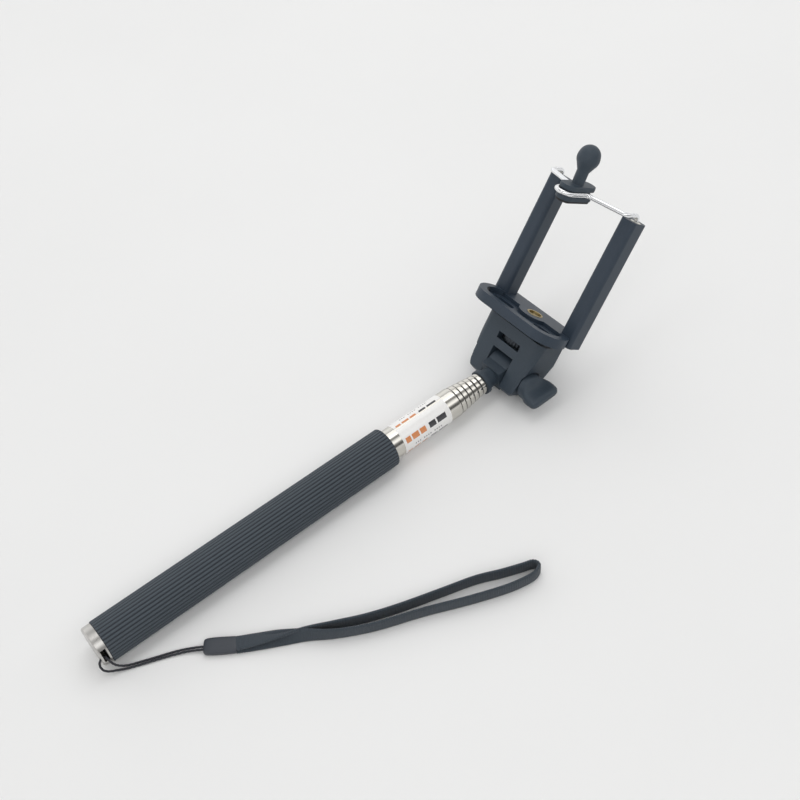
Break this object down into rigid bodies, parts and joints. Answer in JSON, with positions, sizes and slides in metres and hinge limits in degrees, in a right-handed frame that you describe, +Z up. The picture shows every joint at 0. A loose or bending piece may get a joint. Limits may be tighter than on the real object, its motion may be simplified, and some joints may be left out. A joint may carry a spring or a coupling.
{
  "type": "selfie stick",
  "caption": "Telescoping hand stick with ribbed grip, wrist strap, tilting head with clamp knob and screw stud, and a sprung clip that holds a phone.",
  "frame": {"origin": "on the surface the stick lies on, under the middle of the rigid pieces' box (the wrist strap is left out of it)", "axes": "+Y along the stick from the end cap to the head, +Z up from the surface it lies on, +X across the stick on the clamp knob's side"},
  "size_m": [0.1252, 0.3049, 0.1153],
  "materials": {
    "steel_tube": "satin",
    "steel_small": "satin",
    "black_steel": "satin",
    "chrome_wire": "polished",
    "brass": "satin",
    "slate_plastic": "satin",
    "post_plastic": "satin",
    "nylon": "matte",
    "grip_rubber": "satin",
    "soft_black": "matte",
    "paper": "satin",
    "cord": "matte",
    "webbing": "woven",
    "ferrule_plastic": "satin"
  },
  "bodies": {
    "handle": {"end_cap": "steel_small", "cap_plug": "soft_black", "grip": "grip_rubber", "label": "paper", "tube_1": "steel_tube", "strap_string": "cord", "strap_ferrule": "ferrule_plastic", "strap_loop": "webbing"},
    "section_2": {"tube_2": "steel_tube", "bush_2": "nylon"},
    "section_3": {"tube_3": "steel_tube", "bush_3": "nylon"},
    "section_4": {"tube_4": "steel_tube", "bush_4": "nylon"},
    "section_5": {"tube_5": "steel_tube", "bush_5": "nylon"},
    "section_6": {"tube_6": "steel_tube", "bush_6": "nylon"},
    "section_7": {"bush_7": "nylon"},
    "tip": {"tube_7": "steel_tube", "neck": "slate_plastic", "neck_pin": "steel_small"},
    "head": {"hood": "slate_plastic", "tilt_bolt": "steel_small", "friction_washers": "soft_black", "top_pad": "soft_black"},
    "knob": {"wing_knob": "slate_plastic", "knob_nut": "brass"},
    "stud": {"mount_stud": "steel_small", "thumbwheel": "black_steel"},
    "clip": {"clip_base": "post_plastic", "brass_insert": "brass", "lip_pad": "soft_black", "post_left": "post_plastic", "post_right": "post_plastic", "post_screws": "steel_small", "guide_bush_left": "nylon", "guide_bush_right": "nylon", "spring_left": "steel_small", "spring_right": "steel_small"},
    "jaw": {"wire_yoke": "chrome_wire", "leg_stops": "steel_small", "upper_jaw": "slate_plastic", "jaw_pad": "soft_black"}
  },
  "joints": [
    {"name": "extend_2", "type": "slide", "parent": "handle", "child": "section_2", "axis": [0, 1, 0], "range_m": [0, 0.143]},
    {"name": "extend_3", "type": "slide", "parent": "section_2", "child": "section_3", "axis": [0, 1, 0], "range_m": [0, 0.143]},
    {"name": "extend_4", "type": "slide", "parent": "section_3", "child": "section_4", "axis": [0, 1, 0], "range_m": [0, 0.143]},
    {"name": "extend_5", "type": "slide", "parent": "section_4", "child": "section_5", "axis": [0, 1, 0], "range_m": [0, 0.143]},
    {"name": "extend_6", "type": "slide", "parent": "section_5", "child": "section_6", "axis": [0, 1, 0], "range_m": [0, 0.143]},
    {"name": "extend_7", "type": "slide", "parent": "section_6", "child": "section_7", "axis": [0, 1, 0], "range_m": [0, 0.143]},
    {"name": "head_swivel", "type": "hinge", "parent": "section_7", "child": "tip", "pos_m": [-0.0013, 0, 0.01], "axis": [0, 1, 0], "continuous": true},
    {"name": "head_tilt", "type": "hinge", "parent": "tip", "child": "head", "pos_m": [-0.0013, 0.0855, 0.01], "axis": [1, 0, 0], "range_deg": [-53, 37]},
    {"name": "knob_turn", "type": "hinge", "parent": "head", "child": "knob", "pos_m": [-0.0013, 0.0855, 0.01], "axis": [1, 0, 0], "continuous": true},
    {"name": "mount_turn", "type": "hinge", "parent": "head", "child": "stud", "pos_m": [-0.0013, 0.09993, 0.02417], "axis": [0, 0.6018, 0.7986], "continuous": true},
    {"name": "clip_swivel", "type": "hinge", "parent": "head", "child": "clip", "pos_m": [-0.0013, 0.09993, 0.02417], "axis": [0, 0.6018, 0.7986], "continuous": true},
    {"name": "jaw_slide", "type": "slide", "parent": "clip", "child": "jaw", "axis": [0, 0.6018, 0.7986], "range_m": [0, 0.028], "stiffness_N_per_m": 220, "springref_m": -0.01, "deforming": ["spring_left", "spring_right"]}
  ]
}
